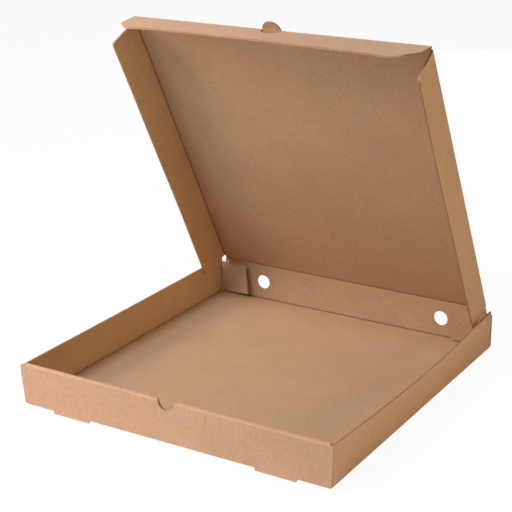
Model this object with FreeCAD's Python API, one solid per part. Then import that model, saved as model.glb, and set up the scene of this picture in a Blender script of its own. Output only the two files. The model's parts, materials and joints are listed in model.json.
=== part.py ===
import FreeCAD, Part
import math
import os

from FreeCAD import Vector

# Shallow square box folded from one die-cut blank of corrugated board, standing open.
# X is across the box, +Y towards the hinged back, +Z up.
# The origin is the centre of the underside of the bottom panel. Lengths are in millimetres.

# Driving dimensions: the board and the tray
board = 1.6                  # thickness of the corrugated board
box_width = 330.0            # across the side walls, outside, at the bottom
box_depth = 348.0            # from the front wall to the back wall, outside
wall_height = 41.0           # from the underside of the bottom to the rim
ply_clearance = 0.25         # air between plies that lie on each other
left_flare = 3.6             # how far the front wall's left end stands out at its top
right_flare = 1.5            # how far the right wall stands out at its front top corner
right_bow = 6.3              # how far the right wall's rim bows out, halfway along it
left_bow = -0.6              # the same for the left wall, whose rim bows in

# Driving dimensions: what is cut into the tray
foot_inner = 90.0            # from the middle to the near end of a foot
foot_outer = 131.0           # from the middle to the far end of a foot
foot_drop = 2.4              # how far a foot reaches below the bottom
lock_end_play = 0.8          # air at each end of a locking tab in its slot
slot_play = 0.4              # air behind a locking tab in its slot
thumb_offset = -2.0          # the middle of the thumb notch and of the thumb tab
notch_radius = 9.2           # half-round thumb notch in the front wall
notch_overcut = 2.0          # how much wider the notch in the inner ply is, all round
vent_offset = 108.4          # from the middle to each vent hole
vent_height = 21.4           # from the underside to the middle of a vent hole
vent_radius = 8.0
relief_width = 6.5           # cut at each top corner of the back wall
relief_depth = 4.5
left_end_round = 2.0         # rounding of the front wall's top corner at its left end
right_end_round = 0.6        # the same at its right end

# Driving dimensions: the corner tabs of the side walls
front_tab_length = 32.0      # tab caught between the two plies of the front wall
front_tab_margin = 1.0       # air above and below that tab
rear_tab_length = 40.0       # tab folded in front of the back wall
rear_tab_height = 33.8       # its free edge
rear_tab_bottom = 2.4        # height of its lower fold corner above the underside
rear_tab_swing = 10.0        # degrees that a rear tab stands off the back wall
left_tab_tilt = 6.0          # degrees that the left rear tab points upwards
right_tab_tilt = 2.5         # the same of the right one
corner_drop = 0.6            # how far a rear corner's fold ends below the rim

# Driving dimensions: the lid and its flaps
lid_open = 61.9              # degrees from shut to the pose at rest
lid_front_inset = 3.9        # from the front wall's inner ply to the lid's front crease
lid_side_inset = 5.7         # from a side wall's outside to a side crease's outside
crease_gap = 0.3             # air beside a crease that moves
side_crease_gap = 0.15       # the same at the creases of the side flaps
side_sector_gap = 8.0        # degrees of air in the outer corner of those creases
side_flap_width = 38.5       # from the crease to the free edge
side_flap_fold = 85.5        # degrees from flat to the pose at rest
side_flap_rear = 5.0         # from the hinge crease to the flap's rear end
side_flap_rear_slope = 0.2   # how fast that end runs forward towards the free edge
side_flap_front = 3.5        # from the flap's front end to the front crease
side_flap_corner = 1.2       # chamfer at its front free corner
front_flap_width = 34.5      # from the front crease to the free edge
front_flap_fold = 70.0       # degrees from flat to the pose at rest
front_flap_inset = 1.0       # how far each end stays inside the lid's width
front_flap_corner_x = 13.0   # chamfer of its free corners, along the flap
front_flap_corner_y = 12.0   # chamfer of its free corners, across the flap
front_flap_round = 6.0       # rounding at both ends of that chamfer
thumb_radius = 9.7           # half-round thumb tab on the lid's front crease
thumb_neck = 0.8             # straight stretch before the half round
thumb_clearance = 0.5        # air around the thumb tab in the front flap

# Places that follow from them
inner_half = box_width / 2 - board
front_face = -box_depth / 2
front_inside = front_face + board
back_face = box_depth / 2
back_inside = back_face - board
floor = board
strip_floor = wall_height - board
tab_outside = front_inside + ply_clearance
tab_inside = tab_outside + board
ply_face = tab_inside + ply_clearance
ply_inside = ply_face + board
rear_tab_inside = back_inside - ply_clearance - board
hinge_y = back_face - board / 2
hinge_z = wall_height + crease_gap + board / 2
front_crease_y = ply_inside + lid_front_inset
lid_width = box_width - 2 * lid_side_inset
side_crease_x = lid_width / 2 - board
side_crease_z = hinge_z - board / 2

X_AXIS = Vector(1, 0, 0)
Y_AXIS = Vector(0, 1, 0)
Z_AXIS = Vector(0, 0, 1)


def plate(x_low, x_high, y_low, y_high, z_low, z_high):
    """A flat piece of board between two corners."""
    return Part.makeBox(x_high - x_low, y_high - y_low, z_high - z_low,
                        Vector(x_low, y_low, z_low))


def prism(points, direction):
    """The closed outline through the points, pushed along a direction."""
    outline = Part.makePolygon(points + [points[0]])
    return Part.Face(outline).extrude(direction)


def fold(centre, along, length, start, turn, radius=board):
    """The rounded outside of a crease: a sector about the crease's inner line.

    It runs from the start direction, by turn degrees about the crease.
    """
    across = Vector(start).normalize()
    sector = Part.Face(Part.Wire([
        Part.LineSegment(centre, centre + across * radius).toShape(),
        Part.Arc(centre + across * radius,
                 centre + turned(across, along, turn / 2) * radius,
                 centre + turned(across, along, turn) * radius).toShape(),
        Part.LineSegment(centre + turned(across, along, turn) * radius, centre).toShape(),
    ]))
    return sector.extrude(along * length)


def turned(direction, axis, degrees):
    """A direction turned about an axis."""
    return FreeCAD.Rotation(axis, degrees).multVec(direction)


def joined(shapes):
    """One clean solid from pieces that touch or overlap."""
    whole = shapes[0].fuse(shapes[1:])
    return whole.removeSplitter()


def lean(side, share):
    """How far a side wall's rim stands out, at a share of the way from its front end."""
    if side < 0:
        return left_bow * math.sin(math.pi * share)
    return right_flare * (1 - share) + right_bow * math.sin(math.pi * share)


def bottom_and_back():
    """The bottom panel with its creases, and the back wall with its vent holes."""
    pieces = [
        plate(-inner_half, inner_half, front_inside, back_inside, 0, board),
        plate(-box_width / 2, box_width / 2, back_inside, back_face, floor, wall_height),
        fold(Vector(-inner_half, back_inside, floor), X_AXIS, 2 * inner_half,
             Vector(0, 0, -1), 90),
    ]
    back = joined(pieces)
    for side in (-1, 1):
        vent = Part.makeCylinder(vent_radius, 3 * board,
                                 Vector(side * vent_offset, back_inside - board, vent_height),
                                 Y_AXIS)
        relief = plate(-relief_width, relief_width, back_inside - board, back_face + board,
                       wall_height - relief_depth, wall_height + board)
        relief.translate(Vector(side * box_width / 2, 0, 0))
        back = back.cut([vent, relief])
    return back


def front_wall():
    """The outer ply, the strip over the top, the inner ply, the feet and the locking tabs."""
    half = box_width / 2
    rim = wall_height - ply_clearance
    left_top = -half - left_flare
    right_top = half + right_flare
    outer_ply = prism([
        Vector(-half, front_face, floor),
        Vector(half, front_face, floor),
        Vector(right_top, front_face, rim - right_end_round),
        Vector(right_top - right_end_round, front_face, rim),
        Vector(left_top + left_end_round, front_face, rim),
        Vector(left_top, front_face, rim - left_end_round),
    ], Y_AXIS * board)
    strip_half = inner_half - ply_clearance
    span = 2 * strip_half
    over_the_top = [
        fold(Vector(-strip_half, front_inside, strip_floor), X_AXIS, span,
             Vector(0, 0, 1), 90),
        plate(-strip_half, strip_half, front_inside, ply_face, strip_floor, wall_height),
        fold(Vector(-strip_half, ply_face, strip_floor), X_AXIS, span,
             Vector(0, 1, 0), 90),
        plate(-strip_half, strip_half, ply_face, ply_inside,
              floor + ply_clearance, strip_floor),
    ]
    above_strip = plate(-strip_half, strip_half, front_face - board, front_inside,
                        strip_floor, wall_height + board)
    pieces = [
        outer_ply.cut(above_strip),
        fold(Vector(-inner_half, front_inside, floor), X_AXIS, 2 * inner_half,
             Vector(0, -1, 0), 90),
    ] + over_the_top
    for side in (-1, 1):
        near, far = sorted((side * foot_inner, side * foot_outer))
        pieces.append(plate(near, far, front_face, front_inside, -foot_drop, floor))
        pieces.append(plate(near + lock_end_play, far - lock_end_play, ply_face, ply_inside,
                            0, floor + ply_clearance))
    return joined(pieces)


def locking_slots():
    """The slots in the bottom that the locking tabs stand in."""
    slots = []
    for side in (-1, 1):
        near, far = sorted((side * foot_inner, side * foot_outer))
        slots.append(plate(near, far, front_inside, ply_inside + slot_play, -board, floor))
    return slots


def side_section(side, y, out):
    """The outline of a side wall at one place along it, leaning out by the given length."""
    inner = side * inner_half
    outer = side * box_width / 2
    lean = side * out
    return Part.makePolygon([
        Vector(inner, y, floor),
        Vector(outer, y, floor),
        Vector(outer + lean, y, wall_height),
        Vector(inner + lean, y, wall_height),
        Vector(inner, y, floor),
    ])


def side_wall(side):
    """A side wall, its crease to the bottom, and its front and rear tabs."""
    stations = 8
    sections = []
    for station in range(stations + 1):
        share = station / stations
        y = tab_outside + (rear_tab_inside - tab_outside) * share
        sections.append(side_section(side, y, lean(side, share)))
    wall = Part.makeLoft(sections, True, False)
    crease_start = Vector(0, 0, -1) if side < 0 else Vector(1, 0, 0)
    crease = fold(Vector(side * inner_half, tab_outside, floor), Y_AXIS,
                  back_inside - ply_clearance - tab_outside, crease_start, 90)
    return joined([wall, crease, front_tab(side), rear_tab(side), rear_corner(side)])


def front_tab(side):
    """The tab at a side wall's front end, between the plies of the front wall."""
    low = floor + front_tab_margin
    high = strip_floor - front_tab_margin
    rise = wall_height - floor
    out = lean(side, 0)
    outer_low = side * (box_width / 2 - board / 2 + out * (low - floor) / rise)
    outer_high = side * (box_width / 2 - board / 2 + out * (high - floor) / rise)
    inner = side * (inner_half - front_tab_length)
    return prism([
        Vector(inner, tab_outside, low),
        Vector(outer_low, tab_outside, low),
        Vector(outer_high, tab_outside, high),
        Vector(inner, tab_outside, high),
    ], Y_AXIS * board)


def rear_tab(side):
    """The tab at a side wall's rear end, which stands off the back wall a little."""
    tilt = math.radians(left_tab_tilt if side < 0 else right_tab_tilt)
    low = Vector(0, 0, rear_tab_bottom)
    low_free = low + Vector(math.cos(tilt), 0, math.sin(tilt)) * rear_tab_length
    high_free = low_free + Vector(-math.sin(tilt), 0, math.cos(tilt)) * rear_tab_height
    high = Vector(0, 0, high_free.z - high_free.x * math.tan(tilt))
    outline = [low, low_free, high_free, high]
    tab = prism(outline, Y_AXIS * board)
    tab.rotate(Vector(0, 0, 0), Z_AXIS, -rear_tab_swing)
    if side > 0:
        tab = tab.mirror(Vector(0, 0, 0), X_AXIS)
    tab.translate(Vector(side * inner_half, rear_tab_inside, 0))
    return tab


def rear_corner(side):
    """The fold between a side wall and its rear tab."""
    start = turned(Y_AXIS, Z_AXIS, -rear_tab_swing) if side < 0 else X_AXIS
    return fold(Vector(side * inner_half, rear_tab_inside, rear_tab_bottom), Z_AXIS,
                wall_height - corner_drop - rear_tab_bottom,
                start, 90 + rear_tab_swing)


def tray():
    """The bottom, the four walls and all that is folded from them, in one piece."""
    shell = joined([bottom_and_back(), front_wall(), side_wall(-1), side_wall(1)])
    before = front_face - board
    between = front_face + board + ply_clearance
    behind = ply_inside + board
    notch = Part.makeCylinder(notch_radius, between - before,
                              Vector(thumb_offset, before, wall_height), Y_AXIS)
    inner_notch = Part.makeCylinder(notch_radius + notch_overcut, behind - between,
                                    Vector(thumb_offset, between, wall_height), Y_AXIS)
    return shell.cut(locking_slots() + [notch, inner_notch])


def thumb_outline(radius, neck_start):
    """A half round pointing forwards, on a neck that starts behind the front crease."""
    left = Vector(thumb_offset - radius, front_crease_y - thumb_neck, 0)
    right = Vector(thumb_offset + radius, front_crease_y - thumb_neck, 0)
    tip = Vector(thumb_offset, front_crease_y - thumb_neck - radius, 0)
    back = Vector(0, front_crease_y + neck_start, 0)
    wire = Part.Wire([
        Part.Arc(left, tip, right).toShape(),
        Part.LineSegment(right, Vector(right.x, back.y, 0)).toShape(),
        Part.LineSegment(Vector(right.x, back.y, 0), Vector(left.x, back.y, 0)).toShape(),
        Part.LineSegment(Vector(left.x, back.y, 0), left).toShape(),
    ])
    return Part.Face(wire)


def lid_panel():
    """The lid, as if shut: the panel, its rounded rear edge and the thumb tab."""
    half = side_crease_x - side_crease_gap
    front_edge = front_crease_y + board / 2 + crease_gap
    low = hinge_z - board / 2
    high = hinge_z + board / 2
    panel = plate(-half, half, front_edge, hinge_y, low, high)
    rear_edge = Part.makeCylinder(board / 2, 2 * half, Vector(-half, hinge_y, hinge_z), X_AXIS)
    thumb = thumb_outline(thumb_radius, board)
    thumb.translate(Vector(0, 0, low))
    return joined([panel, rear_edge, thumb.extrude(Z_AXIS * board)])


def front_flap():
    """The front flap, as if flat in line with the shut lid, with its opening for the tab."""
    half = lid_width / 2 - front_flap_inset
    free = front_crease_y - front_flap_width
    low = hinge_z - board / 2
    outline = [
        Vector(-half, front_crease_y, low),
        Vector(-half, free + front_flap_corner_y, low),
        Vector(-half + front_flap_corner_x, free, low),
        Vector(half - front_flap_corner_x, free, low),
        Vector(half, free + front_flap_corner_y, low),
        Vector(half, front_crease_y, low),
    ]
    flap = prism(outline, Z_AXIS * board)
    corners = []
    for edge in flap.Edges:
        middle = edge.CenterOfMass
        upright = abs(edge.Vertexes[0].Z - edge.Vertexes[-1].Z) > board / 2
        if upright and middle.y < front_crease_y - board:
            corners.append(edge)
    flap = flap.makeFillet(front_flap_round, corners)
    nose = Part.makeCylinder(board / 2, 2 * half,
                             Vector(-half, front_crease_y, hinge_z), X_AXIS)
    opening = thumb_outline(thumb_radius + thumb_clearance, board)
    opening.translate(Vector(0, 0, low - board))
    return joined([flap, nose]).cut(opening.extrude(Z_AXIS * 3 * board))


def side_flap(side):
    """A side flap, folded to its angle at rest on the shut lid."""
    rear = hinge_y - side_flap_rear
    front = front_crease_y + side_flap_front
    top = side_crease_z
    outline = [
        Vector(0, rear, top),
        Vector(side_flap_width, rear - side_flap_rear_slope * side_flap_width, top),
        Vector(side_flap_width, front + side_flap_corner, top),
        Vector(side_flap_width - side_flap_corner, front, top),
        Vector(0, front, top),
    ]
    flap = prism(outline, Z_AXIS * board)
    sector = fold(Vector(0, front, top), Y_AXIS, rear - front,
                  Vector(0, 0, 1), -(side_flap_fold - side_sector_gap))
    flap = joined([flap, sector])
    flap.rotate(Vector(0, 0, top), Y_AXIS, side_flap_fold)
    if side < 0:
        flap = flap.mirror(Vector(0, 0, 0), X_AXIS)
    flap.translate(Vector(side * side_crease_x, 0, 0))
    return flap


def opened(shape):
    """A piece of the shut lid, swung up to the lid's pose at rest."""
    shape.rotate(Vector(0, hinge_y, hinge_z), X_AXIS, -lid_open)
    return shape


folded_front = front_flap()
folded_front.rotate(Vector(0, front_crease_y, hinge_z), X_AXIS, front_flap_fold)

nodes = {
    "tray": tray(),
    "lid": opened(lid_panel()),
    "lid_front_flap": opened(folded_front),
    "lid_left_flap": opened(side_flap(-1)),
    "lid_right_flap": opened(side_flap(1)),
}

os.makedirs("parts", exist_ok=True)
for name, shape in nodes.items():
    shape.exportStep("parts/" + name + ".step")
    box = shape.BoundBox
    print(name, "valid", shape.isValid(), "solids", len(shape.Solids),
          "volume %.1f" % shape.Volume,
          "x %.2f %.2f y %.2f %.2f z %.2f %.2f" % (box.XMin, box.XMax, box.YMin, box.YMax,
                                                   box.ZMin, box.ZMax))
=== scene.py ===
"""Dresses a packed pizza box: corrugated kraft board with open flutes, creases darkened with painted
shade, and soft bends.
"""
import json
import math

import bmesh
import bpy
from bpy.props import FloatProperty, FloatVectorProperty, PointerProperty
from mathutils import Matrix, Vector
from mathutils.bvhtree import BVHTree


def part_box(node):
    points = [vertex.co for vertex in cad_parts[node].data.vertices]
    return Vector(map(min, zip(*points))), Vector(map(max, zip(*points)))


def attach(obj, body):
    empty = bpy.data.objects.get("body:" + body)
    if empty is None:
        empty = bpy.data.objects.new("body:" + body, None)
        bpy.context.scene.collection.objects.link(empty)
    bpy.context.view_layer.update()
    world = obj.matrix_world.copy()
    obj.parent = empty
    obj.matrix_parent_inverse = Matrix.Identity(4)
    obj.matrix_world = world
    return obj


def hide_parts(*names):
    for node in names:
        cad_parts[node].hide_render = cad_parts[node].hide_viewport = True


bl_info = {
    "name": "Corrugated Pizza Box",
    "version": (1, 0, 0),
    "blender": (4, 5, 0),
    "location": "3D View > Sidebar > Pizza Box",
    "description": "Builds a folded corrugated pizza box around its CAD frame",
    "category": "Add Mesh",
}

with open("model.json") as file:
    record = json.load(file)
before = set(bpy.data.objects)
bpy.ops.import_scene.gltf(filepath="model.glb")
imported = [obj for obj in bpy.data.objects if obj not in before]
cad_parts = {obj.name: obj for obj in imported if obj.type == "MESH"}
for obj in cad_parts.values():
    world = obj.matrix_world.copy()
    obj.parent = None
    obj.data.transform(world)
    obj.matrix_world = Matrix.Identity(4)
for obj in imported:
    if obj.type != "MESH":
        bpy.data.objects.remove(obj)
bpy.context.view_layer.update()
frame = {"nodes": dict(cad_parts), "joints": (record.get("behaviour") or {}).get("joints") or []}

MM = 0.001
X_AXIS, Y_AXIS, Z_AXIS = Vector((1, 0, 0)), Vector((0, 1, 0)), Vector((0, 0, 1))

# Places that come from the frame
JOINTS = {joint["name"]: joint for joint in frame["joints"]}
TRAY_LOW, TRAY_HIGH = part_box("tray")
FRONT_FACE = TRAY_LOW.y
BACK_FACE = TRAY_HIGH.y
RIM = TRAY_HIGH.z
FOOT_BOTTOM = TRAY_LOW.z
HINGE = Vector(JOINTS["lid_hinge"]["pos_m"])
LID_OPEN = -JOINTS["lid_hinge"]["range_deg"][0]
FRONT_FOLD = 90 + JOINTS["front_flap_crease"]["range_deg"][0]
FRONT_CREASE = (Vector(JOINTS["front_flap_crease"]["pos_m"]) - HINGE).length
SIDE_CREASE_X = JOINTS["right_flap_crease"]["pos_m"][0]

# Sizes of the cut and folded board, equal to those of the solids in the frame
HALF_WIDTH = 165.0 * MM
PLY_AIR = 0.25 * MM
VENT_X = 108.4 * MM
VENT_Z = 21.4 * MM
VENT_RADIUS = 8.0 * MM
RIGHT_FLARE = 1.5 * MM
RIGHT_BOW = 6.3 * MM
LEFT_BOW = -0.6 * MM
THUMB_X = -2.0 * MM
NOTCH_RADIUS = 9.2 * MM
NOTCH_OVERCUT = 2.0 * MM
THUMB_RADIUS = 9.7 * MM
THUMB_OPENING = 10.2 * MM
THUMB_NECK = 0.8 * MM
FOOT_INNER = 90.0 * MM
FOOT_OUTER = 131.0 * MM
RELIEF_WIDTH = 6.5 * MM
RELIEF_DEPTH = 4.5 * MM
REAR_TAB_LENGTH = 40.0 * MM
REAR_TAB_HEIGHT = 33.8 * MM
REAR_TAB_LOW = 2.4 * MM
REAR_TAB_SWING = 10.0
LEFT_TAB_TILT = 6.0
RIGHT_TAB_TILT = 2.5
SIDE_FLAP_WIDTH = 38.5 * MM
SIDE_FLAP_FOLD = 85.5
SIDE_FLAP_REAR = 5.0 * MM
SIDE_FLAP_FRONT = 3.5 * MM
SIDE_FLAP_TAPER = 0.2
FRONT_FLAP_WIDTH = 34.5 * MM
FRONT_FLAP_HALF = 158.3 * MM
FRONT_FLAP_CHAMFER_X = 13.0 * MM
FRONT_FLAP_CHAMFER_Y = 12.0 * MM

# The papers' places in a piece's list of materials
# The crease paper is darker: painted shade in the inside corners along the creases, on crushed paper.
OUTER, INNER, MEDIUM, CREASE = range(4)

# How far along a direction a face's normal has to lie, for the face to count as facing it
ROUGHLY, MOSTLY, NEARLY = 0.5, 0.7, 0.97

# Corners closer than WELD are merged, and a cut passes through a corner closer than SNAP
WELD = 0.002 * MM
SNAP = 1e-7

# Angles in degrees: faces that bend less are merged, and edges that bend more are shaded sharp
FLAT_ANGLE = 0.03
SHARP_ANGLE = 32.0

# A crease's band lies this close to its panel's face
SKIN = 0.3 * MM

# A face is a cut edge where more board than this lies behind it, in thicknesses of the board
CUT_EDGE_DEPTH = 2.5
STEP_IN = 0.02 * MM

# With fewer faces than this, a cut has failed
FEWEST_FACES = 50

# Where the flutes of a round cut show: up to this share of its radius, and in the thumb notch up to
# this many thicknesses below the rim
ROUND_REACH = 0.7
NOTCH_TOP = 1.6

# How far the thumb tab's flutes start outside it, and the front flap's slot ends before its corners
THUMB_MARGIN = 2.0 * MM
GROOVE_INSET = 4.0 * MM

# The wave of the front flap's free edge, rounded from a trace of it in the photograph:
# places along the flap in millimetres, and the share of the wave there
FLAP_WAVE = ((-158, 0.1), (-145, 0.3), (-128, 0.7), (-108, 1.0), (20, 0.95), (50, 0.65), (90, 0.4),
             (118, 0.25), (129, -0.35), (139, 0.4), (150, 1.0), (158, 1.2))
FLAP_WAVE_CURL = 1.2
FRONT_FLAP_SLICES = 40

# The bow of the side flaps: an arch with a ripple on it, which grows towards the free edge
BOW_RIPPLE = 0.25
BOW_RIPPLE_RADIANS = 9.0
BOW_CURL = 1.5
SIDE_FLAP_SLICES = 28

# Blender's wave texture turns by this many radians over a length of one at a scale of one
WAVE_RADIANS = 20

# The studio: the floor's half width in metres, and how white the camera sees the floor
FLOOR_HALF = 6.0
FLOOR_GLOW = 0.95

# The lamps: compass angle from +X and height in degrees with distance in metres, size, and colour
LAMPS = {
    "key": ((-118, 52, 1.50), 0.8, (0.886, 0.983, 1.0)),
    "side": ((-150, 28, 1.14), 0.6, (1.0, 0.80, 0.63)),
    "fill": ((-10, 14, 1.90), 0.8, (1.0, 0.80, 0.42)),
    "back": ((95, 9, 1.60), 0.8, (1.0, 1.0, 1.0)),
}
LAMP_AIM = Vector((0, 0, 0.1))

# The camera that took the photograph: its place in metres, and its axes
CAMERA_PLACE = Vector((0.64890, -1.08625, 0.57346))
CAMERA_RIGHT = Vector((0.85538, 0.51794, -0.00777))
CAMERA_UP = Vector((-0.16684, 0.28967, 0.94247))
SENSOR_WIDTH = 36.0


def linear(hex_colour):
    """The linear red, green and blue of an sRGB hex colour."""
    parts = [(hex_colour >> shift & 255) / 255 for shift in (16, 8, 0)]
    return tuple(c / 12.92 if c <= 0.04045 else ((c + 0.055) / 1.055) ** 2.4 for c in parts)


class BoardSettings(bpy.types.PropertyGroup):
    thickness: FloatProperty(
        name="Board Thickness", description="Thickness of the corrugated board",
        default=1.6 * MM, min=0.5 * MM, subtype="DISTANCE", unit="LENGTH")
    liner: FloatProperty(
        name="Liner Thickness", description="Thickness of the flat paper on each face",
        default=0.34 * MM, min=0.1 * MM, subtype="DISTANCE", unit="LENGTH")
    pitch: FloatProperty(
        name="Flute Pitch", description="Distance from one flute to the next",
        default=3.2 * MM, min=1.0 * MM, subtype="DISTANCE", unit="LENGTH")
    open_depth: FloatProperty(
        name="Open Depth", description="How far the flutes are hollow behind a cut edge",
        default=1.5 * MM, min=0.5 * MM, subtype="DISTANCE", unit="LENGTH")
    # Both liners are one kraft paper: the outside's colour is painted paler for light, the inside's
    # darker and less red for shade and bounced light.
    outer_lit_colour: FloatVectorProperty(
        name="Outer Liner Lit Colour", description="Colour of the kraft liner on the blank's outside, painted paler as lit",
        subtype="COLOR", size=3, min=0, max=1, default=linear(0xD7AC90))
    inner_shaded_colour: FloatVectorProperty(
        name="Inner Liner Shaded Colour", description="Colour of the kraft liner on the blank's inside, painted darker as shaded",
        subtype="COLOR", size=3, min=0, max=1, default=linear(0xC3A183))
    medium_colour: FloatVectorProperty(
        name="Medium Colour", description="Colour of the fluted paper and of the cut edges",
        subtype="COLOR", size=3, min=0, max=1, default=linear(0xC9A180))
    # The crease colour is painted shade for the inside corners along the creases, laid on crushed paper.
    crease_shade_colour: FloatVectorProperty(
        name="Crease Shade Colour", description="Colour of the crushed paper along the creases, darkened as painted shade",
        subtype="COLOR", size=3, min=0, max=1, default=linear(0x997557))
    crease_shade_width: FloatProperty(
        name="Crease Shade Width", description="Width of the crushed band with painted shade on each side of a crease",
        default=1.1 * MM, min=0.2 * MM, subtype="DISTANCE", unit="LENGTH")


class BendSettings(bpy.types.PropertyGroup):
    front_flap_wave: FloatProperty(
        name="Front Flap Wave", description="How far the free edge of the front flap waves",
        default=2.3 * MM, subtype="DISTANCE", unit="LENGTH")
    side_flap_bow: FloatProperty(
        name="Side Flap Bow", description="How far the free edges of the side flaps bow inwards",
        default=1.5 * MM, subtype="DISTANCE", unit="LENGTH")


class StageSettings(bpy.types.PropertyGroup):
    lens: FloatProperty(
        name="Lens", description="Focal length of the camera, in millimetres",
        default=97.85, min=1, subtype="DISTANCE_CAMERA", unit="CAMERA")
    sky_top: FloatProperty(
        name="Overhead Level", description="Strength of the soft light from straight above",
        default=0.0, min=0)
    sky_side: FloatProperty(
        name="Side Level", description="Strength of the soft light from the sides",
        default=0.02, min=0)
    key_power: FloatProperty(
        name="Key Power", description="Power of the high soft light in front",
        default=15.5, min=0, subtype="POWER", unit="POWER")
    side_power: FloatProperty(
        name="Side Power", description="Power of the lower, warm light on the left",
        default=7.6, min=0, subtype="POWER", unit="POWER")
    fill_power: FloatProperty(
        name="Fill Power", description="Power of the low, warm light on the right",
        default=10.0, min=0, subtype="POWER", unit="POWER")
    back_power: FloatProperty(
        name="Back Power", description="Power of the low light behind the box",
        default=11.0, min=0, subtype="POWER", unit="POWER")
    floor_colour: FloatVectorProperty(
        name="Floor Colour", description="Colour of the studio floor", subtype="COLOR",
        size=3, min=0, max=1, default=linear(0xF7F7F7))
    floor_bounce: FloatVectorProperty(
        name="Floor Bounce", description="Colour of the light that the floor sends back up",
        subtype="COLOR", size=3, min=0, max=1, default=linear(0xF7F5F2))


def add_node(tree, kind, settings=None, inputs=None, stops=()):
    """Adds a node: its settings, a value or a link for each named input, and a ramp's two stops."""
    node = tree.nodes.new(kind)
    for name, value in (settings or {}).items():
        setattr(node, name, value)
    for name, value in (inputs or {}).items():
        if isinstance(value, bpy.types.NodeSocket):
            tree.links.new(value, node.inputs[name])
        else:
            node.inputs[name].default_value = value
    for index, (place, colour) in enumerate(stops):
        node.color_ramp.elements[index].position = place
        node.color_ramp.elements[index].color = colour
    return node


def new_material(name):
    """An empty material with its output node."""
    material = bpy.data.materials.new(name)
    material.use_nodes = True
    material.node_tree.nodes.clear()
    output = add_node(material.node_tree, "ShaderNodeOutputMaterial")
    return material, material.node_tree, output


def kraft_liner(name, colour):
    """Kraft liner: unbleached paper, matt, with short fibres along the web and a few dark specks.

    The flutes show through it as faint washboard lines across the web. Its fibres and its grain are
    drawn coarser than the real ones, which would be too fine to show.
    """
    material, tree, output = new_material(name)
    place = add_node(tree, "ShaderNodeTexCoord").outputs["Object"]
    blank = add_node(tree, "ShaderNodeUVMap", {"uv_map": "blank"}).outputs["UV"]
    along_web = add_node(tree, "ShaderNodeMapping", inputs={
        "Vector": blank, "Scale": (1 / (1.0 * MM), 1 / (5.0 * MM), 1)}).outputs["Vector"]
    clouds = add_node(tree, "ShaderNodeTexNoise", inputs={
        "Vector": place, "Scale": 1 / (45 * MM), "Detail": 4.0, "Roughness": 0.55})
    grain = add_node(tree, "ShaderNodeTexNoise", inputs={
        "Vector": place, "Scale": 1 / (1.7 * MM), "Detail": 3.0, "Roughness": 0.65})
    fibres = add_node(tree, "ShaderNodeTexNoise", inputs={
        "Vector": along_web, "Scale": 1.0, "Detail": 3.0, "Roughness": 0.6})
    specks = add_node(tree, "ShaderNodeTexVoronoi", inputs={
        "Vector": place, "Scale": 1 / (4.5 * MM), "Randomness": 1.0})
    shade = (*colour, 1.0)
    for pattern, dark, light in (
            (clouds.outputs["Fac"], (0.30, (0.96, 0.955, 0.95, 1)), (0.70, (1.03, 1.03, 1.035, 1))),
            (grain.outputs["Fac"], (0.32, (0.90, 0.89, 0.88, 1)), (0.68, (1.08, 1.08, 1.08, 1))),
            (fibres.outputs["Fac"], (0.30, (0.94, 0.93, 0.92, 1)), (0.70, (1.05, 1.05, 1.06, 1))),
            (specks.outputs["Distance"], (0.06, (0.70, 0.66, 0.62, 1)), (0.14, (1, 1, 1, 1)))):
        tint = add_node(tree, "ShaderNodeValToRGB", inputs={"Fac": pattern}, stops=(dark, light))
        shade = add_node(tree, "ShaderNodeMix", {"data_type": "RGBA", "blend_type": "MULTIPLY"}, {
            0: 1.0, 6: shade, 7: tint.outputs["Color"]}).outputs[2]
    washboard = add_node(tree, "ShaderNodeTexWave", {
        "wave_type": "BANDS", "bands_direction": "Y", "wave_profile": "SIN"}, {
        "Vector": blank, "Scale": 2 * math.pi / (WAVE_RADIANS * bpy.context.scene.pizza_board.pitch)})
    fine = add_node(tree, "ShaderNodeMath", {"operation": "MULTIPLY_ADD"}, {
        0: fibres.outputs["Fac"], 1: 0.5, 2: grain.outputs["Fac"]})
    tooth = add_node(tree, "ShaderNodeBump", inputs={
        "Strength": 0.35, "Distance": 0.12 * MM, "Height": fine.outputs["Value"]})
    relief = add_node(tree, "ShaderNodeBump", inputs={
        "Strength": 0.25, "Distance": 0.05 * MM, "Height": washboard.outputs["Fac"],
        "Normal": tooth.outputs["Normal"]})
    paper = add_node(tree, "ShaderNodeBsdfPrincipled", inputs={
        "Base Color": shade, "Roughness": 0.82, "IOR": 1.5, "Specular IOR Level": 0.35,
        "Normal": relief.outputs["Normal"]})
    tree.links.new(paper.outputs["BSDF"], output.inputs["Surface"])
    return material


def cut_medium(name, colour):
    """Corrugated medium: the rough, darker paper of the flutes, bare wherever the board is cut.

    Its torn fuzz is drawn coarser than the real one, so that it shows.
    """
    material, tree, output = new_material(name)
    place = add_node(tree, "ShaderNodeTexCoord").outputs["Object"]
    fuzz = add_node(tree, "ShaderNodeTexNoise", inputs={
        "Vector": place, "Scale": 1 / (0.8 * MM), "Detail": 4.0, "Roughness": 0.7})
    tint = add_node(tree, "ShaderNodeValToRGB", inputs={"Fac": fuzz.outputs["Fac"]}, stops=(
        (0.30, (0.82, 0.81, 0.80, 1)), (0.70, (1.12, 1.12, 1.12, 1))))
    shade = add_node(tree, "ShaderNodeMix", {"data_type": "RGBA", "blend_type": "MULTIPLY"}, {
        0: 1.0, 6: (*colour, 1.0), 7: tint.outputs["Color"]}).outputs[2]
    tear = add_node(tree, "ShaderNodeBump", inputs={
        "Strength": 0.5, "Distance": 0.15 * MM, "Height": fuzz.outputs["Fac"]})
    paper = add_node(tree, "ShaderNodeBsdfPrincipled", inputs={
        "Base Color": shade, "Roughness": 0.92, "IOR": 1.5, "Specular IOR Level": 0.25,
        "Normal": tear.outputs["Normal"]})
    tree.links.new(paper.outputs["BSDF"], output.inputs["Surface"])
    return material


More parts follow.
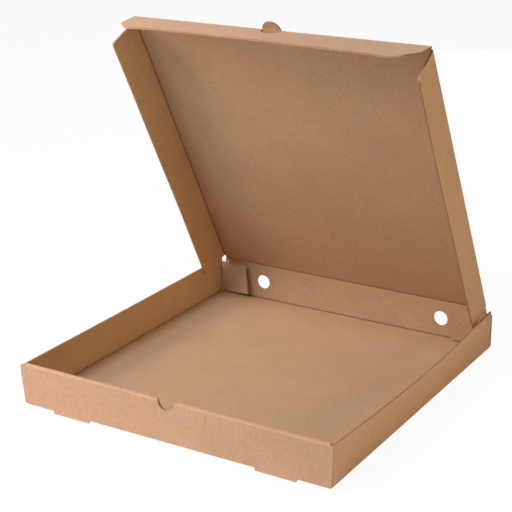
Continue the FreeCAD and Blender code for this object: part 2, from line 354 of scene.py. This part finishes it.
def board_materials():
    """The papers of the board: its two liners, one painted paler as lit outside and one darker as shaded
    inside, the medium between them and its crushed creases with painted shade.
    """
    settings = bpy.context.scene.pizza_board
    papers = (("outer kraft liner", kraft_liner, settings.outer_lit_colour),
              ("inner kraft liner", kraft_liner, settings.inner_shaded_colour),
              ("corrugated medium", cut_medium, settings.medium_colour),
              ("pressed crease", kraft_liner, settings.crease_shade_colour))
    return [bpy.data.materials.get(name) or make(name, colour) for name, make, colour in papers]


def channel_outline(flip):
    """The cross section of the air between the medium's wave and one liner, about the mid plane."""
    settings = bpy.context.scene.pizza_board
    inside = settings.thickness / 2 - settings.liner
    mouth, shoulder = 0.40 * settings.pitch, 0.19 * settings.pitch
    top, slope, floor = flip * inside, -flip * 0.30 * inside, -flip * 0.62 * inside
    return [(-mouth, top), (-shoulder, slope), (0.0, floor), (shoulder, slope), (mouth, top)]


def add_channel(bm, mouth, along, across, reach, outline):
    """One closed channel of air: its outline at the mouth, pushed in by the reach vector."""
    corners = [bm.verts.new(mouth + along * a + across * b) for a, b in outline]
    face = bm.faces.new(corners)
    face.material_index = MEDIUM
    grown = bmesh.ops.extrude_face_region(bm, geom=[face], use_keep_orig=True)["geom"]
    bmesh.ops.translate(bm, vec=reach, verts=[v for v in grown if isinstance(v, bmesh.types.BMVert)])


def flute_row(bm, start, end, across, reach, outside=1.0 * MM, shift=None):
    """Open flutes along a cut edge: channels on both sides of the wave, a pitch apart.

    The reach is a vector into the board, or a function that gives it for a place on the edge.
    The shift is a function that gives how far the edge lies from the straight line there.
    """
    pitch = bpy.context.scene.pizza_board.pitch
    run = end - start
    along = run.normalized()
    for flip, offset in ((1, 0.5), (-1, 1.0)):
        steps = int((run.length / pitch) - offset + 0.5)
        for step in range(steps):
            place = start + along * ((step + offset) * pitch)
            inward = reach(place) if callable(reach) else reach
            back = inward.normalized() * outside
            if shift:
                place = place + shift(place)
            add_channel(bm, place - back, along, across, inward + back, channel_outline(flip))


def edge_groove(bm, start, end, across, inward, depth=0.6 * MM):
    """The slot between the liners along an edge that was cut along the flutes."""
    settings = bpy.context.scene.pizza_board
    inside = settings.thickness / 2 - settings.liner
    throat = 0.6 * depth
    outline = [(-depth, -inside), (throat, -inside), (depth, 0.0), (throat, inside), (-depth, inside)]
    add_channel(bm, start, inward.normalized(), across, end - start, outline)


def through_board(tree, face, limit):
    """True if the board is thicker behind a face than the limit, so that the face is a cut edge."""
    centre = face.calc_center_median()
    hit = tree.ray_cast(centre - face.normal * STEP_IN, -face.normal)
    return hit[0] is None or hit[3] > limit


def board_copy(node, faces_inside):
    """A mesh of a CAD node with its flat faces merged, and each face given its paper.

    The given function tells from a face's centre and normal if it shows the blank's inside.
    """
    bm = bmesh.new()
    bm.from_mesh(frame["nodes"][node].data)
    bmesh.ops.remove_doubles(bm, verts=bm.verts, dist=WELD)
    bmesh.ops.dissolve_limit(bm, angle_limit=math.radians(FLAT_ANGLE), verts=bm.verts, edges=bm.edges,
                             delimit=set(), use_dissolve_boundaries=False)
    tree = BVHTree.FromBMesh(bm)
    limit = CUT_EDGE_DEPTH * bpy.context.scene.pizza_board.thickness
    # Faces on the blank's inside take the liner painted as shaded, the others the one painted as lit.
    for face in bm.faces:
        if through_board(tree, face, limit):
            face.material_index = MEDIUM
        elif faces_inside(face.calc_center_median(), face.normal):
            face.material_index = INNER
        else:
            face.material_index = OUTER
    return bm


def paint_crease_shade(bm, places):
    """Marks the crushed bands along creases and paints shade on them: they take the darker crease paper.

    Each place is a point on the crease, a direction away from it along the panel, and the normal
    of the panel's face. A band runs along the whole crease.
    """
    width = bpy.context.scene.pizza_board.crease_shade_width
    for point, away, normal in places:
        bmesh.ops.bisect_plane(bm, geom=bm.verts[:] + bm.edges[:] + bm.faces[:], dist=SNAP,
                               plane_co=point + away * width, plane_no=away)
        for face in bm.faces:
            if face.material_index in (OUTER, INNER) and face.normal.dot(normal) > NEARLY:
                offset = face.calc_center_median() - point
                if 0 < offset.dot(away) < width and abs(offset.dot(normal)) < SKIN:
                    face.material_index = CREASE


def inside_of(placing):
    """The test for a panel that was laid flat, outside up, before it was put in place."""
    outside = placing.to_3x3() @ Z_AXIS
    return lambda centre, normal: normal.dot(outside) < -ROUGHLY


def inside_of_tray(centre, normal):
    """True for the faces of the tray that show the blank's inside: floor, walls and rear tabs.

    The front wall's inner ply is rolled over, so that it shows the blank's outside.
    """
    if normal.z > MOSTLY:
        return centre.z < RIM / 2
    if abs(normal.x) > MOSTLY:
        return normal.x * centre.x < 0
    return normal.y < -MOSTLY and centre.y > 0


def mesh_object(name, bm):
    """A new object at the origin that holds the shape, with the board's papers as its materials."""
    mesh = bpy.data.meshes.new(name)
    bm.to_mesh(mesh)
    bm.free()
    for material in board_materials():
        mesh.materials.append(material)
    piece = bpy.data.objects.new(name, mesh)
    bpy.context.scene.collection.objects.link(piece)
    return piece


def carve(name, board, air):
    """Cuts the air channels out of the board and returns the result as a bmesh."""
    bmesh.ops.recalc_face_normals(air, faces=air.faces)
    body = mesh_object(name + "_solid", board)
    cutter = mesh_object(name + "_air", air)
    cut = body.modifiers.new("open flutes", "BOOLEAN")
    cut.operation = "DIFFERENCE"
    cut.solver = "EXACT"
    cut.use_self = True
    cut.object = cutter
    result = bmesh.new()
    result.from_object(body, bpy.context.evaluated_depsgraph_get())
    for spent in (body, cutter):
        mesh = spent.data
        bpy.data.objects.remove(spent)
        bpy.data.meshes.remove(mesh)
    if len(result.faces) < FEWEST_FACES:
        raise RuntimeError(f"{name}: cutting the flutes left almost nothing")
    return result


def slice_up(bm, start, end, count):
    """Cuts a mesh across at even steps between two points, so that it can bend."""
    for step in range(1, count):
        place = start.lerp(end, step / count)
        bmesh.ops.bisect_plane(bm, geom=bm.verts[:] + bm.edges[:] + bm.faces[:], dist=SNAP,
                               plane_co=place, plane_no=end - start)


def lay_out_blank(bm, slope):
    """Gives each corner its place in the flat blank, x across the web and y along it, in metres."""
    layer = bm.loops.layers.uv.new("blank")
    for face in bm.faces:
        normal = face.normal
        sideways = abs(normal.x) > MOSTLY
        for loop in face.loops:
            p = loop.vert.co
            along = p.dot(slope) if slope else (p.z if abs(normal.y) > MOSTLY else p.y)
            across = p.z if sideways else p.x
            loop[layer].uv = (across, along)


def finish_piece(name, bm, body, node, slope=None):
    """Makes the finished piece: smooth folds, sharp cut edges, its blank map, body and node."""
    lay_out_blank(bm, slope)
    piece = mesh_object(name, bm)
    piece.data.shade_smooth()
    piece.data.set_sharp_from_angle(angle=math.radians(SHARP_ANGLE))
    flat = piece.modifiers.new("flat panels", "WEIGHTED_NORMAL")
    flat.keep_sharp = True
    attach(piece, body)
    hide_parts(node)


def opened():
    """Takes a place on the shut lid to the lid's pose at rest."""
    return (Matrix.Translation(HINGE) @ Matrix.Rotation(math.radians(-LID_OPEN), 4, "X")
            @ Matrix.Translation(-HINGE))


def lid_slope():
    """The direction down the lid at rest, from its hinge to its front crease."""
    return opened().to_3x3() @ -Y_AXIS


def folded_front():
    """Takes a place on the front flap, flat in line with the shut lid, to its pose at rest."""
    crease = Vector((0, HINGE.y - FRONT_CREASE, HINGE.z))
    return (opened() @ Matrix.Translation(crease)
            @ Matrix.Rotation(math.radians(FRONT_FOLD), 4, "X") @ Matrix.Translation(-crease))


def folded_side(side):
    """Takes a place on a side flap, flat and with its crease at x = 0, to its pose at rest."""
    crease = Vector((0, 0, HINGE.z - bpy.context.scene.pizza_board.thickness / 2))
    mirror = Matrix.Scale(-1, 4, X_AXIS) if side < 0 else Matrix.Identity(4)
    return (opened() @ Matrix.Translation(X_AXIS * (side * SIDE_CREASE_X)) @ mirror
            @ Matrix.Translation(crease)
            @ Matrix.Rotation(math.radians(SIDE_FLAP_FOLD), 4, "Y") @ Matrix.Translation(-crease))


def side_wall_ends():
    """The front and back ends of the side walls."""
    t = bpy.context.scene.pizza_board.thickness
    return FRONT_FACE + t + PLY_AIR, BACK_FACE - 2 * t - PLY_AIR


def lean(side, y):
    """How far a side wall's rim stands out from its foot, at one place along it."""
    front, back = side_wall_ends()
    share = (y - front) / (back - front)
    if side < 0:
        return LEFT_BOW * math.sin(math.pi * share)
    return RIGHT_FLARE * (1 - share) + RIGHT_BOW * math.sin(math.pi * share)


def side_air(air, side):
    """The open flutes of one side: the side wall's rim, the back wall's end, a vent and a foot."""
    settings = bpy.context.scene.pizza_board
    t = settings.thickness
    deep = settings.open_depth
    front, back = side_wall_ends()
    rim_x = side * (HALF_WIDTH - t / 2)
    end_x = side * HALF_WIDTH
    relief_x = side * (HALF_WIDTH - RELIEF_WIDTH)
    back_y = BACK_FACE - t / 2
    foot_y = FRONT_FACE + t / 2
    relief_z = RIM - RELIEF_DEPTH
    inward = X_AXIS * (-side * deep)

    def down(place):
        return Vector((-side * lean(side, place.y) / (RIM - t), 0, -1)).normalized() * deep

    def outwards(place):
        return Vector((side * lean(side, place.y), 0, 0))

    flute_row(air, Vector((rim_x, front, RIM)), Vector((rim_x, back, RIM)), X_AXIS, down,
              shift=outwards)
    flute_row(air, Vector((end_x, back_y, t)), Vector((end_x, back_y, relief_z - t / 2)), Y_AXIS,
              inward)
    edge_groove(air, Vector((relief_x + side * t, back_y, relief_z)),
                Vector((side * (HALF_WIDTH + t), back_y, relief_z)), Y_AXIS, -Z_AXIS)
    flute_row(air, Vector((relief_x, back_y, relief_z)), Vector((relief_x, back_y, RIM)), Y_AXIS,
              inward)
    through = 2 * (VENT_RADIUS + deep)
    middle = Vector((side * VENT_X - through / 2, back_y, VENT_Z))
    steep = Z_AXIS * (ROUND_REACH * VENT_RADIUS)
    flute_row(air, middle - steep, middle + steep, Y_AXIS, X_AXIS * through, outside=0.0)
    edge_groove(air, Vector((side * FOOT_INNER, foot_y, FOOT_BOTTOM)),
                Vector((side * FOOT_OUTER, foot_y, FOOT_BOTTOM)), Y_AXIS, Z_AXIS)


def notch_air(air):
    """The open flutes round the thumb notch, in both plies of the front wall."""
    settings = bpy.context.scene.pizza_board
    t = settings.thickness
    deep = settings.open_depth
    outer_ply = (FRONT_FACE + t / 2, NOTCH_RADIUS)
    inner_ply = (FRONT_FACE + t + 2 * PLY_AIR + t + t / 2, NOTCH_RADIUS + NOTCH_OVERCUT)
    for ply_y, radius in (outer_ply, inner_ply):
        start = Vector((THUMB_X - radius - deep, ply_y, RIM - ROUND_REACH * radius))
        flute_row(air, start, start + Z_AXIS * (ROUND_REACH * radius - NOTCH_TOP * t), Y_AXIS,
                  X_AXIS * 2 * (radius + deep), outside=0.0)


def rear_tab_air(air, side, tilt):
    """The open flutes along a rear tab's top, and the slot in its free end."""
    settings = bpy.context.scene.pizza_board
    t = settings.thickness
    swing = math.radians(REAR_TAB_SWING)
    level = Vector((-side * math.cos(swing), -math.sin(swing), 0))
    along = level * math.cos(tilt) + Z_AXIS * math.sin(tilt)
    up = Z_AXIS * math.cos(tilt) - level * math.sin(tilt)
    across = Vector((-side * math.sin(swing), math.cos(swing), 0))
    corner = Vector((side * (HALF_WIDTH - t), BACK_FACE - PLY_AIR - 2 * t, REAR_TAB_LOW))
    low_free = corner + across * (t / 2) + along * REAR_TAB_LENGTH
    high_free = low_free + up * REAR_TAB_HEIGHT
    top = REAR_TAB_LENGTH - REAR_TAB_HEIGHT * math.tan(tilt)
    flute_row(air, high_free - along * top, high_free, across, -up * settings.open_depth)
    edge_groove(air, low_free, high_free, across, -along)


def tray_air():
    """The air of all the tray's open flutes."""
    air = bmesh.new()
    for side in (-1, 1):
        side_air(air, side)
    notch_air(air)
    rear_tab_air(air, -1, math.radians(LEFT_TAB_TILT))
    rear_tab_air(air, 1, math.radians(RIGHT_TAB_TILT))
    return air


def tray_creases():
    """The creases that show inside the tray, where shade is painted: round its floor, and along the lid's
    hinge.
    """
    t = bpy.context.scene.pizza_board.thickness
    wall_foot = Vector((0, BACK_FACE - t, t))
    wall_top = Vector((0, BACK_FACE - t, RIM))
    places = [(wall_foot, Z_AXIS, -Y_AXIS), (wall_foot, -Y_AXIS, Z_AXIS),
              (wall_top, -Z_AXIS, -Y_AXIS)]
    for side in (-1, 1):
        side_foot = Vector((side * (HALF_WIDTH - t), 0, t))
        places += [(side_foot, -side * X_AXIS, Z_AXIS), (side_foot, Z_AXIS, -side * X_AXIS)]
    return places


class PIZZABOX_OT_tray(bpy.types.Operator):
    """Builds the tray: bottom, four walls, feet and corner tabs, with open flutes at its cut edges"""
    bl_idname = "pizza_box.tray"
    bl_label = "Tray"

    def execute(self, context):
        board = board_copy("tray", inside_of_tray)
        paint_crease_shade(board, tray_creases())
        bm = carve("tray", board, tray_air())
        finish_piece("folded_tray", bm, "tray", "tray")
        return {"FINISHED"}


def lid_creases():
    """The creases that show inside the lid, where shade is painted: at its hinge and at its side flaps.
    """
    t = bpy.context.scene.pizza_board.thickness
    turn = opened().to_3x3()
    inward = turn @ -Z_AXIS
    places = [(HINGE + inward * (t / 2), turn @ -Y_AXIS, inward)]
    for side in (-1, 1):
        edge = HINGE + inward * (t / 2) + X_AXIS * (side * SIDE_CREASE_X)
        places.append((edge, X_AXIS * -side, inward))
    return places


def lid_air():
    """The open flutes round the thumb tab."""
    settings = bpy.context.scene.pizza_board
    air = bmesh.new()
    tip = HINGE.y - FRONT_CREASE - THUMB_NECK - THUMB_RADIUS
    start = Vector((THUMB_X - THUMB_RADIUS - THUMB_MARGIN, tip, HINGE.z))
    length = THUMB_RADIUS - settings.thickness / 2
    flute_row(air, start, start + Y_AXIS * length, Z_AXIS,
              X_AXIS * (2 * THUMB_RADIUS + 2 * THUMB_MARGIN), outside=0.0)
    bmesh.ops.transform(air, matrix=opened(), verts=air.verts)
    return air


class PIZZABOX_OT_lid(bpy.types.Operator):
    """Builds the lid panel with its thumb tab"""
    bl_idname = "pizza_box.lid"
    bl_label = "Lid"

    def execute(self, context):
        board = board_copy("lid", inside_of(opened()))
        paint_crease_shade(board, lid_creases())
        bm = carve("lid", board, lid_air())
        finish_piece("folded_lid", bm, "lid", "lid", lid_slope())
        return {"FINISHED"}


def front_flap_air():
    """The front flap's open flutes, at its ends and its opening, and the slot in its free edge."""
    settings = bpy.context.scene.pizza_board
    air = bmesh.new()
    crease = HINGE.y - FRONT_CREASE
    free = crease - FRONT_FLAP_WIDTH
    for side in (-1, 1):

        def inward(place, side=side):
            cut = max(0.0, free + FRONT_FLAP_CHAMFER_Y - place.y) / FRONT_FLAP_CHAMFER_Y
            return X_AXIS * (-side * (settings.open_depth + cut * FRONT_FLAP_CHAMFER_X))

        flute_row(air, Vector((side * FRONT_FLAP_HALF, crease, HINGE.z)),
                  Vector((side * FRONT_FLAP_HALF, free, HINGE.z)), Z_AXIS, inward)
    length = FRONT_FLAP_HALF - FRONT_FLAP_CHAMFER_X - GROOVE_INSET
    edge_groove(air, Vector((-length, free, HINGE.z)), Vector((length, free, HINGE.z)), Z_AXIS, Y_AXIS)
    half = THUMB_OPENING + settings.open_depth
    start = Vector((THUMB_X - half, crease - THUMB_NECK - THUMB_OPENING, HINGE.z))
    flute_row(air, start, start + Y_AXIS * THUMB_OPENING, Z_AXIS, X_AXIS * (2 * half), outside=0.0)
    bmesh.ops.transform(air, matrix=folded_front(), verts=air.verts)
    return air


def between(stops, x):
    """The value at x of a curve that eases from each stop to the next."""
    for (low, start), (high, end) in zip(stops, stops[1:]):
        if x <= high:
            share = max(0.0, (x - low) / (high - low))
            return start + (end - start) * share * share * (3 - 2 * share)
    return stops[-1][1]


def wave_front_flap(bm):
    """Waves the front flap's free edge, most at its right corner, and leaves its crease straight."""
    amount = bpy.context.scene.pizza_bend.front_flap_wave
    back = folded_front().inverted()
    out = folded_front().to_3x3() @ Z_AXIS
    crease = HINGE.y - FRONT_CREASE
    for vert in bm.verts:
        place = back @ vert.co
        share = max(0.0, crease - place.y) / FRONT_FLAP_WIDTH
        vert.co += out * (amount * between(FLAP_WAVE, place.x / MM) * share ** FLAP_WAVE_CURL)


class PIZZABOX_OT_front_flap(bpy.types.Operator):
    """Builds the lid's front flap with its opening for the thumb tab"""
    bl_idname = "pizza_box.front_flap"
    bl_label = "Front Flap"

    def execute(self, context):
        board = board_copy("lid_front_flap", inside_of(folded_front()))
        bm = carve("front_flap", board, front_flap_air())
        slice_up(bm, -X_AXIS * FRONT_FLAP_HALF, X_AXIS * FRONT_FLAP_HALF, FRONT_FLAP_SLICES)
        wave_front_flap(bm)
        slope = folded_front().to_3x3() @ -Y_AXIS
        finish_piece("folded_front_flap", bm, "front_flap", "lid_front_flap", slope)
        return {"FINISHED"}


def side_flap_air(side):
    """The open flutes along a side flap's free edge, and the slots in its two ends."""
    settings = bpy.context.scene.pizza_board
    t = settings.thickness
    middle = HINGE.z
    rear = HINGE.y - SIDE_FLAP_REAR
    front = HINGE.y - FRONT_CREASE + SIDE_FLAP_FRONT
    air = bmesh.new()
    clear, corner = 2 * t, 2.5 * t
    flute_row(air, Vector((SIDE_FLAP_WIDTH, front + clear, middle)),
              Vector((SIDE_FLAP_WIDTH, rear - SIDE_FLAP_TAPER * SIDE_FLAP_WIDTH, middle)), Z_AXIS,
              -X_AXIS * settings.open_depth)
    edge_groove(air, Vector((clear, front, middle)),
                Vector((SIDE_FLAP_WIDTH - corner, front, middle)), Z_AXIS, Y_AXIS)
    rear_run = Vector((1, -SIDE_FLAP_TAPER, 0)).normalized()
    start = Vector((0, rear, middle))
    edge_groove(air, start + rear_run * clear, start + rear_run * (SIDE_FLAP_WIDTH - t), Z_AXIS,
                Vector((-SIDE_FLAP_TAPER, -1, 0)))
    bmesh.ops.transform(air, matrix=folded_side(side), verts=air.verts)
    return air


def bow_side_flap(bm, side):
    """Bows a side flap's free edge inwards along its length, and leaves its crease straight."""
    amount = bpy.context.scene.pizza_bend.side_flap_bow
    back = folded_side(side).inverted()
    inward = folded_side(side).to_3x3() @ -Z_AXIS
    for vert in bm.verts:
        place = back @ vert.co
        share = max(0.0, place.x) / SIDE_FLAP_WIDTH
        s = (HINGE.y - place.y) / FRONT_CREASE
        arch = math.sin(math.pi * min(1.0, max(0.0, s)))
        ripple = 1 - BOW_RIPPLE + BOW_RIPPLE * math.sin(BOW_RIPPLE_RADIANS * s + side)
        vert.co += inward * (amount * arch * ripple * share ** BOW_CURL)


class PIZZABOX_OT_side_flaps(bpy.types.Operator):
    """Builds the lid's two side flaps"""
    bl_idname = "pizza_box.side_flaps"
    bl_label = "Side Flaps"

    def execute(self, context):
        for side, word in ((-1, "left"), (1, "right")):
            node = f"lid_{word}_flap"
            placing = folded_side(side)
            turn = placing.to_3x3()
            board = board_copy(node, inside_of(placing))
            crease = placing @ Vector((0, 0, HINGE.z - context.scene.pizza_board.thickness / 2))
            paint_crease_shade(board, [(crease, turn @ X_AXIS, turn @ -Z_AXIS)])
            bm = carve(node, board, side_flap_air(side))
            slice_up(bm, HINGE, HINGE + lid_slope() * FRONT_CREASE, SIDE_FLAP_SLICES)
            bow_side_flap(bm, side)
            finish_piece(f"folded_{word}_flap", bm, f"{word}_flap", node, lid_slope())
        return {"FINISHED"}


class PIZZABOX_OT_stage(bpy.types.Operator):
    """Sets up the pale floor, the soft light and the camera"""
    bl_idname = "pizza_box.stage"
    bl_label = "Stage"

    def execute(self, context):
        settings = context.scene.pizza_stage
        add_floor(settings)
        add_sky(settings)
        for name, (bearing, size, colour) in LAMPS.items():
            add_lamp(name, bearing, size, getattr(settings, f"{name}_power"), colour)
        add_camera(settings)
        context.scene.view_settings.view_transform = "Standard"
        return {"FINISHED"}


def seen_directly(tree):
    """A socket that is 1 for rays from the camera and from reflections, and 0 for all others."""
    path = add_node(tree, "ShaderNodeLightPath")
    seen = add_node(tree, "ShaderNodeMath", {"operation": "MAXIMUM"}, {
        0: path.outputs["Is Camera Ray"], 1: path.outputs["Is Glossy Ray"]})
    return seen.outputs["Value"]


def add_floor(settings):
    """The floor under the feet and the rear edge of the bottom, on which the box stands."""
    t = bpy.context.scene.pizza_board.thickness
    rise = -FOOT_BOTTOM
    run = (BACK_FACE - t) - FRONT_FACE
    bm = bmesh.new()
    bmesh.ops.create_grid(bm, x_segments=1, y_segments=1, size=FLOOR_HALF)
    bmesh.ops.rotate(bm, verts=bm.verts, matrix=Matrix.Rotation(math.atan2(rise, run), 3, "X"))
    bmesh.ops.translate(bm, verts=bm.verts, vec=(0, 0, FOOT_BOTTOM - FRONT_FACE * rise / run))
    mesh = bpy.data.meshes.new("floor")
    bm.to_mesh(mesh)
    bm.free()
    material, tree, output = new_material("studio floor")
    seen = seen_directly(tree)
    share = add_node(tree, "ShaderNodeMath", {"operation": "MULTIPLY"}, {0: seen, 1: FLOOR_GLOW})
    colour = add_node(tree, "ShaderNodeMix", {"data_type": "RGBA", "blend_type": "MIX"}, {
        0: seen, 6: (*settings.floor_bounce, 1.0), 7: (*settings.floor_colour, 1.0)})
    paint = add_node(tree, "ShaderNodeBsdfDiffuse", inputs={"Color": colour.outputs[2]})
    glow = add_node(tree, "ShaderNodeEmission", inputs={"Color": (1, 1, 1, 1), "Strength": 1.0})
    both = add_node(tree, "ShaderNodeMixShader", inputs={
        0: share.outputs["Value"], 1: paint.outputs["BSDF"], 2: glow.outputs["Emission"]})
    tree.links.new(both.outputs["Shader"], output.inputs["Surface"])
    mesh.materials.append(material)
    floor = bpy.data.objects.new("floor", mesh)
    bpy.context.scene.collection.objects.link(floor)


def add_sky(settings):
    """Faint light from the sides, behind a background that the camera sees as white."""
    world = bpy.data.worlds.new("studio")
    world.use_nodes = True
    tree = world.node_tree
    tree.nodes.clear()
    direction = add_node(tree, "ShaderNodeTexCoord").outputs["Generated"]
    height = add_node(tree, "ShaderNodeSeparateXYZ", inputs={"Vector": direction})
    level = add_node(tree, "ShaderNodeMapRange", inputs={
        "Value": height.outputs["Z"], "From Min": 0.0, "From Max": 1.0,
        "To Min": settings.sky_side, "To Max": settings.sky_top})
    soft = add_node(tree, "ShaderNodeBackground", inputs={
        "Color": (1, 1, 1, 1), "Strength": level.outputs["Result"]})
    white = add_node(tree, "ShaderNodeBackground", inputs={"Color": (1, 1, 1, 1), "Strength": 1.0})
    both = add_node(tree, "ShaderNodeMixShader", inputs={
        0: seen_directly(tree), 1: soft.outputs["Background"], 2: white.outputs["Background"]})
    output = add_node(tree, "ShaderNodeOutputWorld")
    tree.links.new(both.outputs["Shader"], output.inputs["Surface"])
    bpy.context.scene.world = world


def add_lamp(name, bearing, size, power, colour):
    """A large soft round lamp that points at the box.

    The bearing is its compass angle from +X, its height, both in degrees, and its distance.
    """
    turn, height, distance = math.radians(bearing[0]), math.radians(bearing[1]), bearing[2]
    away = Vector((math.cos(height) * math.cos(turn), math.cos(height) * math.sin(turn),
                   math.sin(height)))
    light = bpy.data.lights.new(name, "AREA")
    light.shape = "DISK"
    light.size = size
    light.energy = power
    light.color = colour
    lamp = bpy.data.objects.new(name, light)
    lamp.location = LAMP_AIM + away * distance
    lamp.rotation_euler = away.to_track_quat("Z", "Y").to_euler()
    lamp.visible_camera = False
    bpy.context.scene.collection.objects.link(lamp)


def add_camera(settings):
    """The camera, at the place from which the photograph was taken."""
    data = bpy.data.cameras.new("camera")
    data.lens = settings.lens
    data.sensor_width = SENSOR_WIDTH
    camera = bpy.data.objects.new("camera", data)
    back = CAMERA_RIGHT.cross(CAMERA_UP)
    turn = Matrix((CAMERA_RIGHT, CAMERA_UP, back)).transposed()
    camera.matrix_world = Matrix.Translation(CAMERA_PLACE) @ turn.to_4x4()
    bpy.context.scene.collection.objects.link(camera)
    bpy.context.scene.camera = camera


class PIZZABOX_PT_panel(bpy.types.Panel):
    """Lists the sizes, the colours and the pieces of the box"""
    bl_label = "Pizza Box"
    bl_idname = "PIZZABOX_PT_panel"
    bl_space_type = "VIEW_3D"
    bl_region_type = "UI"
    bl_category = "Pizza Box"

    def draw(self, context):
        for group in (context.scene.pizza_board, context.scene.pizza_bend, context.scene.pizza_stage):
            for name in group.__annotations__:
                self.layout.prop(group, name)
        for operator in OPERATORS:
            self.layout.operator(operator.bl_idname)


OPERATORS = (PIZZABOX_OT_stage, PIZZABOX_OT_tray, PIZZABOX_OT_lid, PIZZABOX_OT_front_flap,
             PIZZABOX_OT_side_flaps)
GROUPS = {"pizza_board": BoardSettings, "pizza_bend": BendSettings, "pizza_stage": StageSettings}


def register():
    for name, group in GROUPS.items():
        bpy.utils.register_class(group)
        setattr(bpy.types.Scene, name, PointerProperty(type=group))
    for operator in OPERATORS:
        bpy.utils.register_class(operator)
    bpy.utils.register_class(PIZZABOX_PT_panel)


def unregister():
    bpy.utils.unregister_class(PIZZABOX_PT_panel)
    for operator in reversed(OPERATORS):
        bpy.utils.unregister_class(operator)
    for name, group in reversed(GROUPS.items()):
        delattr(bpy.types.Scene, name)
        bpy.utils.unregister_class(group)


def main():
    register()
    bpy.ops.pizza_box.stage()
    bpy.ops.pizza_box.tray()
    bpy.ops.pizza_box.lid()
    bpy.ops.pizza_box.front_flap()
    bpy.ops.pizza_box.side_flaps()


if __name__ == "__main__":
    main()
